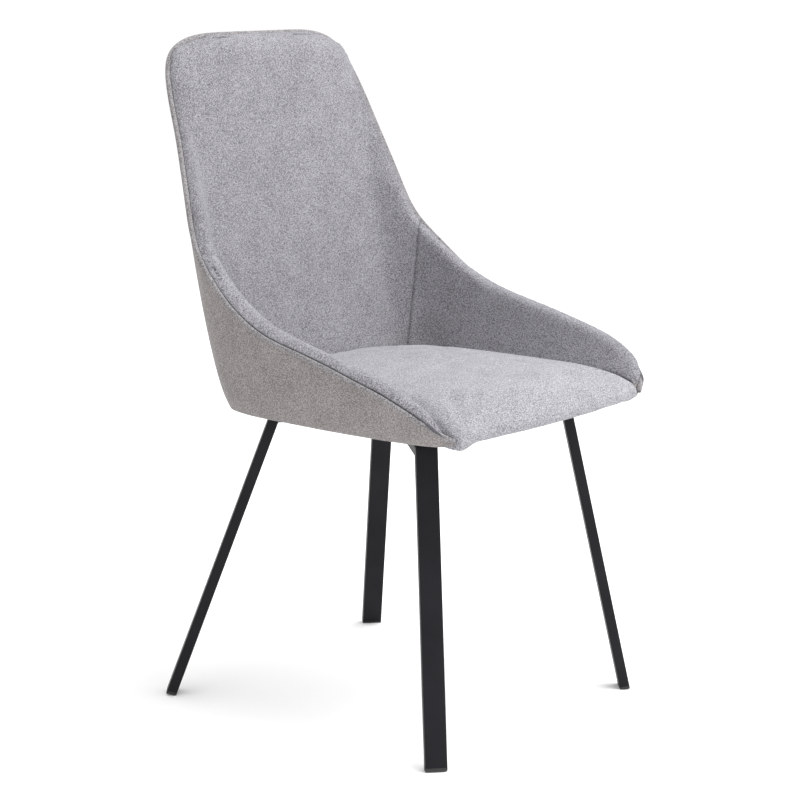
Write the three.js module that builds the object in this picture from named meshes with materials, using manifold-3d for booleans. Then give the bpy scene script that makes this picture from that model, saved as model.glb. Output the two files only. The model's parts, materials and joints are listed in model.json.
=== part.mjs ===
// Upholstered dining chair: a winged bucket seat on a crossed frame of flat
// rectangular tube. Millimetres, +Z up, the sitter faces -Y, and +X is the
// sitter's left. The origin is on the floor, in the middle of the chair's box.
import * as THREE from "three";
import { LoftGeometry } from "three/addons/geometries/LoftGeometry.js";
import { mergeVertices } from "three/addons/utils/BufferGeometryUtils.js";
import Module from "manifold-3d";

const wasm = await Module();
wasm.setup();

// ---------------------------------------------------------------- dimensions

const GAP = 0.3; // clearance between pieces that touch
const SHORTEST_EDGE = 0.01; // that a cut leaves
const DEGREE = Math.PI / 180;

// crossed leg frame
const TUBE_WIDTH = 28;
const TUBE_DEPTH = 14;
const TUBE_WALL = 1.5;
const TUBE_CORNER = 1.8;
const BAR_UNDERSIDE = 380;
const BAR_MIDDLE = BAR_UNDERSIDE + TUBE_DEPTH / 2;
const BAR_TOP = BAR_UNDERSIDE + TUBE_DEPTH;
const CROSS_ANGLE = 47.9 * DEGREE; // each bar, turned from +X towards the front
const FRONT_REACH = 309; // centre of the cross to the middle of a front foot
const REAR_REACH = 315;
const FRONT_SPLAY = 12.4 * DEGREE;
const REAR_SPLAY = 20.7 * DEGREE;
const MITRE_GAP = 0.15; // each side of a mitre

// foot plugs
const PLUG_RIM = 4;
const PLUG_INSERT = 14;
const PLUG_TRIM = 1.2; // taken off the lowest edge, to stand flat
const PLUG_CORNER = 1;
const FLOOR_WIDTH = 4 * TUBE_WIDTH; // of the block that cuts a plug level with the floor

// seat fixings
const FRONT_BOLT_REACH = 150;
const REAR_BOLT_REACH = 112;
const BOLT_RADIUS = 3;
const BOLT_LENGTH = 40;
const BOLT_HEAD_RADIUS = 6;
const BOLT_HEAD_HEIGHT = 3.6;
const BOLT_HEAD_FLAT = 0.6; // radius of the head's flat face, as a share
const BOLT_HEAD_BULGE = 0.9; // radius where the head's dome turns down, as a share
const BOLT_HEAD_EDGE = 0.6; // height of the head's dome down to there, as a share
const BOLT_CHAMFER = 1;
const BOLT_HOLE_RADIUS = 3.3;
const WASHER_RADIUS = 8;
const WASHER_THICKNESS = 1.2;
const SPACER_RADIUS = 12;
const T_NUT_FLANGE_RADIUS = 9;
const T_NUT_FLANGE_THICKNESS = 1.4;
const T_NUT_BARREL_RADIUS = 4;
const T_NUT_BARREL_LENGTH = 8;
const FASTENER_SIDES = 12;
const HOLE_SIDES = 16;
const OVERCUT = 1; // how far a hole's cutter passes the face it cuts

// plywood seat board and the cloth under it
const BOARD_BOTTOM = 412;
const BOARD_THICKNESS = 10;
const BOARD_TOP = BOARD_BOTTOM + BOARD_THICKNESS;
const BOARD_INSET = 6; // from the sides of the seat
const DUST_COVER_THICKNESS = 1.2;
const DUST_COVER_MARGIN = 4; // of bare board round it

// layers of the bucket, from the outside in
const FABRIC = 2;
const SHELL_THICKNESS = 7;
const WELT_RADIUS = 3.5;
const WELT_OUTWARD = 1.4; // the welt's middle, outside the line of its stations
const WELT_STEPS = 64;
const WELT_ARC_STEPS = 3;
const SEAM_INWARD = 2.4; // where the inner cover starts, inside that line

// seat cushion
const SEAT_CROWN = 466;
const SEAT_SIDE_TOP = 447;
const SEAT_FRONT = -266;
const SEAT_FRONT_BOW = 14; // the front edge's corners lie behind its middle
const CORNER_ROOM = 2.7; // between the board's front corners and the cover
const CROWN_SQUARENESS = 2.6; // above 2 keeps the cushion full towards its sides

// The welt runs round the rim of the bucket, from the middle of the top edge,
// down the side of the back and forward along the wing to the front corner.
const WELT_STATIONS = [
  [0, 258, 887],
  [60, 258, 887],
  [117, 258, 885],
  [162, 257, 871],
  [181, 246, 838],
  [196, 213, 760],
  [211, 184, 686],
  [223, 160, 627],
  [234, 126, 592],
  [242, 73, 549],
  [246, 20, 523],
  [247, -34, 510],
  [247, -80, 499],
  [247, -128, 485],
  [245, -172, 472],
  [238, -211, 454],
  [222, -236, 434],
  [197, -249, 419],
];

// The hem is the lower edge of the bucket. Each of its stations faces the
// station of the welt that has the same number.
const HEM_STATIONS = [
  [0, 172, 405],
  [52, 171, 405],
  [102, 167, 405],
  [143, 164, 405],
  [165, 156, 405],
  [178, 144, 405],
  [187, 128, 405],
  [193, 108, 405],
  [198, 82, 405],
  [200, 48, 405],
  [201, 5, 405],
  [203, -42, 405],
  [204, -86, 405.5],
  [204, -132, 406],
  [204, -174, 407],
  [203, -210, 408],
  [200, -234, 410],
  [194, -246, 413],
];
const LAST_STATION = WELT_STATIONS.length - 1;
const PANEL_SEAM_STATION = 6.6; // where the back panel meets a wing panel
const SEAM_GAP = 0.04; // in stations, each side of a panel seam

// depth of the padded bucket at the rim and at the seat: [station, depth]
const RIM_DEPTH = [[0, 27], [5, 27], [9, 30], [14, 28], [17, 13]];
const SEAT_DEPTH = [[0, 53], [3, 46], [5.2, 30], [6.6, 27], [9, 30], [14, 28], [17, 13]];
// how far the padding rises above the welt: [station, height]
const CREST_RISE = [[0, 0], [6, 0], [8, 9], [15, 9], [17, 3]];
// 0 where the padding only faces forward, 1 where it rolls over the rim
const ROLL_OVER = [[0, 0], [5, 0], [8.5, 1], [17, 1]];
const BACK_ROLL_RADIUS = 32;
const ROLL_CLEARANCE = 1; // between the end of the roll and the face below it
const DEPTH_EASE = 0.75; // under 1 thins the padding mostly low down
const RIM_SAMPLES = 200;
// how far the outside swells beyond a straight line from hem to welt: [station, swell]
const OUTER_SWELL = [[0, 13], [4, 12], [7, 12], [9, 8], [12, 6], [17, 1.5]];
const SWELL_SKEW = 0.55; // under 1 puts the fullest place below the middle
const FULLEST_RISE = SWELL_SKEW / (1 + SWELL_SKEW);
const SWELL_SCALE = 1 / (FULLEST_RISE ** SWELL_SKEW * (1 - FULLEST_RISE));

// ------------------------------------------------------------------ materials

function fabric(colour) {
  return new THREE.MeshStandardMaterial({ color: colour, roughness: 0.95, metalness: 0 });
}

const seatFabric = fabric(0xb4b4b8);
const innerFabric = fabric(0x9c9ca1);
const outerFabric = fabric(0x939196);
const foam = new THREE.MeshStandardMaterial({ color: 0xe6dfc4, roughness: 0.9, metalness: 0 });
const plywood = new THREE.MeshStandardMaterial({ color: 0xc4a069, roughness: 0.7, metalness: 0 });
const dustCloth = new THREE.MeshStandardMaterial({ color: 0x1c1c1e, roughness: 1, metalness: 0 });
const coatedSteel = new THREE.MeshStandardMaterial({
  color: 0x232327,
  roughness: 0.5,
  metalness: 0.1,
});
const zincSteel = new THREE.MeshStandardMaterial({
  color: 0xb9bcc0,
  roughness: 0.35,
  metalness: 1,
});
const blackPlastic = new THREE.MeshStandardMaterial({
  color: 0x141416,
  roughness: 0.55,
  metalness: 0,
});

// -------------------------------------------------------------------- helpers

const chair = new THREE.Group();

function addPiece(name, geometry, material) {
  const mesh = new THREE.Mesh(geometry, material);
  mesh.name = name;
  chair.add(mesh);
  return mesh;
}

function solidFrom(geometry) {
  const bare = new THREE.BufferGeometry().copy(geometry);
  bare.deleteAttribute("normal");
  bare.deleteAttribute("uv");
  const merged = mergeVertices(bare, 1e-3);
  return new wasm.Manifold(
    new wasm.Mesh({
      numProp: 3,
      vertProperties: new Float32Array(merged.attributes.position.array),
      triVerts: new Uint32Array(merged.index.array),
    }),
  );
}

function geometryFrom(solid) {
  const mesh = solid.getMesh();
  const geometry = new THREE.BufferGeometry();
  geometry.setAttribute("position", new THREE.BufferAttribute(mesh.vertProperties, 3));
  geometry.setIndex(new THREE.BufferAttribute(mesh.triVerts, 1));
  geometry.computeVertexNormals();
  return geometry;
}

// Cuts shapes out of a piece, and drops any sliver that comes loose.
function cut(geometry, cutters) {
  let solid = solidFrom(geometry);
  for (const cutter of cutters) solid = solid.subtract(solidFrom(cutter));
  const bodies = solid.decompose().sort((a, b) => b.volume() - a.volume());
  return geometryFrom(bodies[0].simplify(SHORTEST_EDGE));
}

// A cylinder on a vertical axis between two heights.
function upright(radius, x, y, bottom, top) {
  const geometry = new THREE.CylinderGeometry(radius, radius, top - bottom, HOLE_SIDES);
  geometry.rotateX(Math.PI / 2);
  geometry.translate(x, y, (bottom + top) / 2);
  return geometry;
}

// A flat ring on a vertical axis between two heights.
function ring(inner, outer, x, y, bottom, top) {
  const profile = [
    new THREE.Vector2(inner, bottom),
    new THREE.Vector2(outer, bottom),
    new THREE.Vector2(outer, top),
    new THREE.Vector2(inner, top),
    new THREE.Vector2(inner, bottom),
  ];
  const geometry = new THREE.LatheGeometry(profile, HOLE_SIDES);
  geometry.rotateX(Math.PI / 2);
  geometry.translate(x, y, 0);
  return geometry;
}

// Reads a value between the marks of a [position, value] list, with soft corners.
function valueAt(marks, position) {
  let i = 0;
  while (i < marks.length - 2 && position > marks[i + 1][0]) i += 1;
  const [start, from] = marks[i];
  const [end, to] = marks[i + 1];
  const share = THREE.MathUtils.smoothstep(position, start, end);
  return from + (to - from) * share;
}

// The area of a ring of points, as a vector along the normal of the ring.
function ringNormal(points) {
  const normal = new THREE.Vector3();
  points.forEach((point, i) => {
    normal.add(point.clone().cross(points[(i + 1) % points.length]));
  });
  return normal;
}

// True where the rings of a loft turn clockwise about the way that they advance.
function isBackwards(sections) {
  const middle = (points) =>
    points.reduce((sum, point) => sum.add(point), new THREE.Vector3()).divideScalar(points.length);
  let turn = 0;
  for (let i = 1; i < sections.length; i += 1) {
    const advance = middle(sections[i]).sub(middle(sections[i - 1]));
    turn += ringNormal(sections[i - 1]).dot(advance);
  }
  return turn < 0;
}

// A solid skinned over rings of points, with a cap on the first and the last.
function loft(sections) {
  const rings = isBackwards(sections) ? sections.map((points) => [...points].reverse()) : sections;
  return new LoftGeometry(rings, { closed: true, capStart: true, capEnd: true });
}

// --------------------------------------------------------------- crossed frame

// The rectangle of a tube with small round corners, seen along the tube.
function tubeOutline(width, depth, corner) {
  const points = [];
  const centres = [[1, 1, 0], [-1, 1, 90], [-1, -1, 180], [1, -1, 270]];
  for (const [sideways, upwards, start] of centres) {
    for (const turn of [0, 45, 90]) {
      const angle = (start + turn) * DEGREE;
      points.push([
        sideways * (width / 2 - corner) + corner * Math.cos(angle),
        upwards * (depth / 2 - corner) + corner * Math.sin(angle),
      ]);
    }
  }
  return points;
}

// One ring of a tube, slid along the tube until it lies in a cutting plane.
function tubeRing(outline, end, along, across, planeNormal) {
  const up = new THREE.Vector3().crossVectors(along, across);
  return outline.map(([a, b]) => {
    const offset = across.clone().multiplyScalar(a).addScaledVector(up, b);
    const slide = -offset.dot(planeNormal) / along.dot(planeNormal);
    return end.clone().add(offset).addScaledVector(along, slide);
  });
}

// A hollow rectangular tube, open at both ends, each end cut in its own plane.
function hollowTube(start, end, across, startNormal, endNormal) {
  const along = end.clone().sub(start).normalize();
  const outside = tubeOutline(TUBE_WIDTH, TUBE_DEPTH, TUBE_CORNER);
  const inside = tubeOutline(
    TUBE_WIDTH - 2 * TUBE_WALL,
    TUBE_DEPTH - 2 * TUBE_WALL,
    TUBE_CORNER - TUBE_WALL / 2,
  );
  const sections = [
    tubeRing(outside, start, along, across, startNormal),
    tubeRing(outside, end, along, across, endNormal),
    tubeRing(inside, end, along, across, endNormal),
    tubeRing(inside, start, along, across, startNormal),
    tubeRing(outside, start, along, across, startNormal),
  ];
  const isClockwise = ringNormal(sections[0]).dot(along) < 0;
  const rings = isClockwise ? sections.map((points) => [...points].reverse()) : sections;
  return new LoftGeometry(rings, { closed: true });
}

// Directions of the two bars in plan, from the middle towards a front foot.
const BAR_TO_FRONT = {
  left: new THREE.Vector3(Math.cos(CROSS_ANGLE), -Math.sin(CROSS_ANGLE), 0),
  right: new THREE.Vector3(-Math.cos(CROSS_ANGLE), -Math.sin(CROSS_ANGLE), 0),
};
const VERTICAL = new THREE.Vector3(0, 0, 1);

// Everything that places one leg: where it leaves its bar, and which way it runs.
function legLine(end, side) {
  const isFront = end === "front";
  const bar = BAR_TO_FRONT[isFront ? side : side === "left" ? "right" : "left"];
  const outward = bar.clone().multiplyScalar(isFront ? 1 : -1);
  const splay = isFront ? FRONT_SPLAY : REAR_SPLAY;
  const reach = isFront ? FRONT_REACH : REAR_REACH;
  const kneeReach = reach - BAR_MIDDLE * Math.tan(splay);
  const knee = outward.clone().multiplyScalar(kneeReach).setZ(BAR_MIDDLE);
  const down = outward.clone().multiplyScalar(Math.sin(splay)).setZ(-Math.cos(splay));
  const across = new THREE.Vector3().crossVectors(VERTICAL, outward);
  const halfLift = (TUBE_DEPTH / 2) * Math.sin(splay);
  const footLength = (BAR_MIDDLE - halfLift + PLUG_TRIM) / Math.cos(splay);
  const foot = knee.clone().addScaledVector(down, footLength);
  const mitre = outward.clone().add(down).normalize();
  return { outward, knee, down, across, foot, mitre, kneeReach };
}

function addLeg(end, side) {
  const { knee, down, across, foot, mitre } = legLine(end, side);
  const top = knee.clone().addScaledVector(down, MITRE_GAP);
  const tubeEnd = foot.clone().addScaledVector(down, -PLUG_RIM - GAP);
  addPiece(`${end}_${side}_leg`, hollowTube(top, tubeEnd, across, mitre, down), coatedSteel);
}

// A plastic plug that closes a foot: a rim as wide as the tube, an insert inside it.
function addFootPlug(end, side) {
  const { down, across, foot } = legLine(end, side);
  const clear = 2 * (TUBE_WALL + GAP);
  const rim = tubeOutline(TUBE_WIDTH, TUBE_DEPTH, TUBE_CORNER);
  const insert = tubeOutline(TUBE_WIDTH - clear, TUBE_DEPTH - clear, PLUG_CORNER);
  const shoulder = foot.clone().addScaledVector(down, -PLUG_RIM);
  const tip = shoulder.clone().addScaledVector(down, -PLUG_INSERT);
  const geometry = loft([
    tubeRing(rim, foot, down, across, down),
    tubeRing(rim, shoulder, down, across, down),
    tubeRing(insert, shoulder, down, across, down),
    tubeRing(insert, tip, down, across, down),
  ]);
  const floor = new THREE.BoxGeometry(FLOOR_WIDTH, FLOOR_WIDTH, TUBE_WIDTH);
  floor.translate(foot.x, foot.y, -TUBE_WIDTH / 2);
  addPiece(`${end}_${side}_foot_plug`, cut(geometry, [floor]), blackPlastic);
}

// The bolts stand in the bars; each is known by its corner.
function boltPlace(end, side) {
  const { outward } = legLine(end, side);
  const reach = end === "front" ? FRONT_BOLT_REACH : REAR_BOLT_REACH;
  return outward.clone().multiplyScalar(reach);
}

function boltHoles(corners, radius, bottom, top) {
  return corners.map(([end, side]) => {
    const place = boltPlace(end, side);
    return upright(radius, place.x, place.y, bottom, top);
  });
}

function barEnd(line) {
  return line.knee.clone().addScaledVector(line.outward, -MITRE_GAP);
}

// One bar runs right through; the other is two halves welded to its sides.
function addThroughBar() {
  const front = legLine("front", "left");
  const rear = legLine("rear", "right");
  const tube = hollowTube(barEnd(rear), barEnd(front), front.across, rear.mitre, front.mitre);
  const corners = [["front", "left"], ["rear", "right"]];
  const holes = boltHoles(corners, BOLT_HOLE_RADIUS, BAR_UNDERSIDE - OVERCUT, BAR_TOP + OVERCUT);
  addPiece("through_bar", cut(tube, holes), coatedSteel);
}

function addHalfBar(name, end, side) {
  const line = legLine(end, side);
  const throughSide = legLine("front", "left").across;
  const crossing = Math.abs(line.outward.dot(throughSide));
  const clear = (TUBE_WIDTH / 2 + GAP) / crossing;
  const inner = line.outward.clone().multiplyScalar(clear).setZ(BAR_MIDDLE);
  const tube = hollowTube(inner, barEnd(line), line.across, throughSide, line.mitre);
  const bottom = BAR_UNDERSIDE - OVERCUT;
  const holes = boltHoles([[end, side]], BOLT_HOLE_RADIUS, bottom, BAR_TOP + OVERCUT);
  addPiece(name, cut(tube, holes), coatedSteel);
}

const CORNERS = [
  ["front", "left"],
  ["front", "right"],
  ["rear", "left"],
  ["rear", "right"],
];

addThroughBar();
addHalfBar("front_half_bar", "front", "right");
addHalfBar("rear_half_bar", "rear", "left");
for (const [end, side] of CORNERS) {
  addLeg(end, side);
  addFootPlug(end, side);
}

// ---------------------------------------------------------------- seat fixings

// A button-head bolt from under the bar, with its washer.
function addBolt(end, side) {
  const { x, y } = boltPlace(end, side);
  const seat = BAR_UNDERSIDE - WASHER_THICKNESS - 2 * GAP;
  const profile = [
    new THREE.Vector2(0, seat - BOLT_HEAD_HEIGHT),
    new THREE.Vector2(BOLT_HEAD_RADIUS * BOLT_HEAD_FLAT, seat - BOLT_HEAD_HEIGHT),
    new THREE.Vector2(BOLT_HEAD_RADIUS * BOLT_HEAD_BULGE, seat - BOLT_HEAD_HEIGHT * BOLT_HEAD_EDGE),
    new THREE.Vector2(BOLT_HEAD_RADIUS, seat),
    new THREE.Vector2(BOLT_RADIUS, seat),
    new THREE.Vector2(BOLT_RADIUS, seat + BOLT_LENGTH - BOLT_CHAMFER),
    new THREE.Vector2(BOLT_RADIUS - BOLT_CHAMFER, seat + BOLT_LENGTH),
    new THREE.Vector2(0, seat + BOLT_LENGTH),
  ];
  const bolt = new THREE.LatheGeometry(profile, FASTENER_SIDES);
  bolt.rotateX(Math.PI / 2);
  bolt.translate(x, y, 0);
  addPiece(`${end}_${side}_bolt`, bolt, zincSteel);
  const top = BAR_UNDERSIDE - GAP;
  const washer = ring(BOLT_HOLE_RADIUS, WASHER_RADIUS, x, y, top - WASHER_THICKNESS, top);
  addPiece(`${end}_${side}_washer`, washer, zincSteel);
}

// A plastic spacer between the bar and the seat board.
function addSpacer(end, side) {
  const { x, y } = boltPlace(end, side);
  const bottom = BAR_TOP + GAP;
  const top = BOARD_BOTTOM - GAP;
  const spacer = ring(BOLT_HOLE_RADIUS, SPACER_RADIUS, x, y, bottom, top);
  addPiece(`${end}_${side}_spacer`, spacer, blackPlastic);
}

// A T-nut let into the top of the seat board.
function addTNut(end, side) {
  const { x, y } = boltPlace(end, side);
  const flangeBottom = BOARD_TOP - T_NUT_FLANGE_THICKNESS;
  const barrelBottom = flangeBottom - T_NUT_BARREL_LENGTH;
  const profile = [
    new THREE.Vector2(BOLT_HOLE_RADIUS, barrelBottom),
    new THREE.Vector2(T_NUT_BARREL_RADIUS, barrelBottom),
    new THREE.Vector2(T_NUT_BARREL_RADIUS, flangeBottom),
    new THREE.Vector2(T_NUT_FLANGE_RADIUS, flangeBottom),
    new THREE.Vector2(T_NUT_FLANGE_RADIUS, BOARD_TOP),
    new THREE.Vector2(BOLT_HOLE_RADIUS, BOARD_TOP),
    new THREE.Vector2(BOLT_HOLE_RADIUS, barrelBottom),
  ];
  const nut = new THREE.LatheGeometry(profile, FASTENER_SIDES);
  nut.rotateX(Math.PI / 2);
  nut.translate(x, y, 0);
  addPiece(`${end}_${side}_t_nut`, nut, zincSteel);
}

for (const [end, side] of CORNERS) {
  addBolt(end, side);
  addSpacer(end, side);
  addTNut(end, side);
}

// --------------------------------------------------------- surfaces of the bucket

function curveThrough(stations) {
  const points = stations.map(([x, y, z]) => new THREE.Vector3(x, y, z));
  return new THREE.CatmullRomCurve3(points, false, "centripetal");
}

const weltCurve = curveThrough(WELT_STATIONS);
const hemCurve = curveThrough(HEM_STATIONS);
const STEP = 0.02; // between the points that a direction is taken from

// Keeps a value far enough inside a range to have a point on each side of it.
function inside(value, lowest, highest) {
  return THREE.MathUtils.clamp(value, lowest + STEP, highest - STEP);
}

// Stations above 0 are on the sitter's left, those below 0 mirror them.
function onCurve(curve, station) {
  const point = curve.getPoint(Math.abs(station) / LAST_STATION);
  if (station < 0) point.x = -point.x;
  return point;
}

// Point of the outermost surface: rise is 0 at the hem and 1 at the welt.
function outerPoint(station, rise) {
  const hem = onCurve(hemCurve, station);
  const welt = onCurve(weltCurve, station);
  const place = inside(station, -LAST_STATION, LAST_STATION);
  const ahead = onCurve(hemCurve, place + STEP);
  const behind = onCurve(hemCurve, place - STEP);
  const outward = ahead.sub(behind).cross(VERTICAL).setZ(0).normalize().negate();
  const swell = valueAt(OUTER_SWELL, Math.abs(station));
  const share = SWELL_SCALE * Math.max(rise, 0) ** SWELL_SKEW * (1 - rise);
  const point = hem.lerp(welt, rise);
  return point.addScaledVector(outward, swell * share);
}

// Directions on the outermost surface: inward through the padding, and up to the rim.
function surfaceFrame(station, rise) {
  const s = inside(station, -LAST_STATION, LAST_STATION);
  const r = inside(rise, 0, 1);
  const along = outerPoint(s + STEP, r).sub(outerPoint(s - STEP, r));
  const up = outerPoint(s, r + STEP).sub(outerPoint(s, r - STEP)).normalize();
  const inward = along.cross(up).normalize();
  return { inward, up };
}

// A point a given depth below the outermost surface.
function pointAtDepth(station, rise, depth) {
  const { inward } = surfaceFrame(station, rise);
  return outerPoint(station, rise).addScaledVector(inward, depth);
}

const rimPoints = [];
for (let i = 0; i <= RIM_SAMPLES; i += 1) {
  rimPoints.push(onCurve(weltCurve, (LAST_STATION * i) / RIM_SAMPLES));
}

// How far a point of the outermost surface is from the rim.
function rimDistance(point) {
  const onLeft = point.clone();
  onLeft.x = Math.abs(point.x);
  return Math.min(...rimPoints.map((place) => place.distanceTo(onLeft)));
}

// Depth of the padding under a point of the face, less an inset. It falls away in
// a quarter turn towards the rim, except where the padding rolls over the rim.
function paddingDepth(station, rise, inset) {
  const place = Math.abs(station);
  const atRim = valueAt(RIM_DEPTH, place);
  const atSeat = valueAt(SEAT_DEPTH, place);
  const full = atSeat + (atRim - atSeat) * rise ** DEPTH_EASE - SEAM_INWARD - inset;
  const distance = rimDistance(outerPoint(station, rise));
  const share = THREE.MathUtils.clamp((distance - inset) / (BACK_ROLL_RADIUS - inset), 0, 1);
  const fallen = Math.sqrt(1 - (1 - share) ** 2);
  return SEAM_INWARD + full * THREE.MathUtils.lerp(fallen, 1, valueAt(ROLL_OVER, place));
}

// Point on the roll of the back, where the padding faces forward. turn runs from
// 0 at the welt to 1 where the roll ends.
function facingPoint(station, turn, inset, least) {
  const quarter = (turn * Math.PI) / 2;
  const start = Math.max(inset, 0);
  const down = start + (BACK_ROLL_RADIUS - start) * (1 - Math.cos(quarter));
  const rise = Math.max(1 - shareOfHeight(station, down), 0);
  return pointAtDepth(station, rise, Math.max(paddingDepth(station, rise, inset), least));
}

// The roll over the rim of a wing, as [inward, up] from the welt.
function overProfile(station, turn) {
  const place = Math.abs(station);
  const thickness = valueAt(RIM_DEPTH, place) - SEAM_INWARD;
  const inward = SEAM_INWARD + (thickness * (1 - Math.cos(turn * Math.PI))) / 2;
  return new THREE.Vector2(inward, valueAt(CREST_RISE, place) * Math.sin(turn * Math.PI));
}

// Point on the roll over the rim of a wing, or a given inset below it.
function overPoint(station, turn, inset) {
  const middle = inside(turn, 0, 1);
  const ahead = overProfile(station, middle + STEP);
  const tangent = ahead.sub(overProfile(station, middle - STEP)).normalize();
  const profile = overProfile(station, turn);
  const inwardBy = profile.x + tangent.y * inset;
  const upBy = profile.y - tangent.x * inset;
  const { inward, up } = surfaceFrame(station, 1);
  const point = onCurve(weltCurve, station);
  return point.addScaledVector(inward, inwardBy).addScaledVector(up, upBy);
}

// Where the roll ends, as a rise on the outermost surface.
function rollEnd(station) {
  const over = valueAt(ROLL_OVER, Math.abs(station));
  return 1 - shareOfHeight(station, BACK_ROLL_RADIUS * (1 - over) + ROLL_CLEARANCE);
}

const ROLL_TURNS = [0, 0.25, 0.5, 0.75, 1]; // places of the loft's points on the roll
const FACE_SHARES = [0.06, 0.16, 0.32, 0.5, 0.68, 0.84, 1]; // of the way up from the lowest point

// The padded face from the welt down to a given rise, as a row of points. The
// inset puts them below the face, but never above a least depth.
function paddedRow(station, lowest, inset, least = 0) {
  const over = valueAt(ROLL_OVER, Math.abs(station));
  const roll = ROLL_TURNS.map((turn) => {
    const facing = facingPoint(station, turn, inset, least);
    return facing.lerp(overPoint(station, turn, inset), over);
  });
  const top = rollEnd(station);
  const shares = [0, ...FACE_SHARES.slice(0, -1)].reverse();
  const face = shares.map((share) => {
    const rise = lowest + (top - lowest) * share;
    return pointAtDepth(station, rise, Math.max(paddingDepth(station, rise, inset), least));
  });
  return [...roll, ...face];
}

// A row of points at one depth, from one rise down to another.
function depthRow(station, highest, lowest, depth) {
  return [0, ...FACE_SHARES].reverse().map((share) => {
    return pointAtDepth(station, lowest + (highest - lowest) * share, depth);
  });
}

// Stations of every loft, closer together where the bucket turns.
const TURN_START = 3;
const TURN_END = 9;
const HALF_STATIONS = [];
for (let station = 1; station < LAST_STATION; ) {
  HALF_STATIONS.push(station);
  station += station >= TURN_START && station < TURN_END ? 0.5 : 1;
}
const ALL_STATIONS = [...HALF_STATIONS.map((station) => -station).reverse(), 0, ...HALF_STATIONS];
const LEAST_STATION_STEP = 0.2;

function stationsBetween(from, to) {
  const low = Math.min(from, to) + LEAST_STATION_STEP;
  const high = Math.max(from, to) - LEAST_STATION_STEP;
  const between = ALL_STATIONS.filter((station) => station > low && station < high);
  return from < to ? [from, ...between, to] : [from, ...between.reverse(), to];
}

// The rise at which the inner face passes below the seat's edge.
function riseAtHeight(station, height) {
  const hem = onCurve(hemCurve, station).z;
  const welt = onCurve(weltCurve, station).z;
  return Math.max((height - hem) / (welt - hem), STEP);
}

// A distance along the outermost surface, as a share of its height.
function shareOfHeight(station, distance) {
  return distance / onCurve(hemCurve, station).distanceTo(onCurve(weltCurve, station));
}

// ------------------------------------------------------------ pieces of the bucket

const TIP_MARGIN = 0.6;
const TIP = LAST_STATION - TIP_MARGIN; // the shell and the padding end just inside the tip
const INNER_LOW_EDGE = 424;
const SHELL_LOW_RISE = 0.015;
const LAYER_GAP = 1; // between curved layers
const SHELL_TOP_DROP = WELT_RADIUS + 2.5; // the shell's edge, below the welt's middle
const SHELL_SHARE = 1 / 4; // most of the padding's depth that the shell may fill

// Each layer below can be made swollen by a margin on every side, to cut the
// room for it out of its neighbours.

// Outer cover: the fabric panel round the back and under both wings.
function outerCoverSolid(margin) {
  const sections = stationsBetween(-LAST_STATION, LAST_STATION).map((station) => {
    const top = 1 - shareOfHeight(station, WELT_RADIUS + GAP - margin);
    const low = -shareOfHeight(station, margin);
    const outside = depthRow(station, top, low, -margin);
    const inside = depthRow(station, top, low, FABRIC + margin).reverse();
    return [...outside, ...inside];
  });
  return loft(sections);
}

// Thickness of the shell, which thins towards the front tips of the wings.
function shellThickness(station) {
  return Math.min(SHELL_THICKNESS, valueAt(RIM_DEPTH, Math.abs(station)) * SHELL_SHARE);
}

// Moulded shell: one bent plywood sheet that carries the back and both wings.
function shellSolid(margin) {
  const sections = stationsBetween(-TIP, TIP).map((station) => {
    const outerDepth = FABRIC + LAYER_GAP;
    const innerDepth = outerDepth + shellThickness(station);
    const top = 1 - shareOfHeight(station, SHELL_TOP_DROP - margin);
    const low = SHELL_LOW_RISE - shareOfHeight(station, margin);
    const outside = depthRow(station, top, low, outerDepth - margin);
    const inside = depthRow(station, top, low, innerDepth + margin).reverse();
    return [...outside, ...inside];
  });
  return loft(sections);
}

// Fabric over a stretch of the padded face.
function innerCoverSolid(from, to, margin) {
  const sections = stationsBetween(from, to).map((station) => {
    const low = riseAtHeight(station, INNER_LOW_EDGE - margin);
    const outside = paddedRow(station, low, -margin);
    const inside = paddedRow(station, low, FABRIC + margin).reverse();
    return [...outside, ...inside];
  });
  return loft(sections);
}

// Foam between the shell and the inner cover.
function foamSolid(from, to) {
  const sections = stationsBetween(from, to).map((station) => {
    const low = riseAtHeight(station, INNER_LOW_EDGE);
    const high = 1 - shareOfHeight(station, SHELL_TOP_DROP);
    const backDepth = FABRIC + 2 * LAYER_GAP + shellThickness(station);
    const face = paddedRow(station, low, FABRIC + LAYER_GAP, backDepth + LAYER_GAP).slice(1);
    const back = depthRow(station, high, low, backDepth).reverse();
    return [...face, ...back];
  });
  return loft(sections);
}

// Welt: the rolled strip of fabric that covers the seam round the rim.
function weltSolid(radius) {
  const path = new THREE.CatmullRomCurve3(
    stationsBetween(-LAST_STATION, LAST_STATION).map((station) => {
      const { inward } = surfaceFrame(station, 1);
      return onCurve(weltCurve, station).addScaledVector(inward, -WELT_OUTWARD);
    }),
    false,
    "centripetal",
  );
  const section = new THREE.Shape();
  section.absarc(0, 0, radius, 0, 2 * Math.PI);
  return new THREE.ExtrudeGeometry(section, {
    steps: WELT_STEPS,
    curveSegments: WELT_ARC_STEPS,
    extrudePath: path,
    bevelEnabled: false,
  });
}

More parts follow.
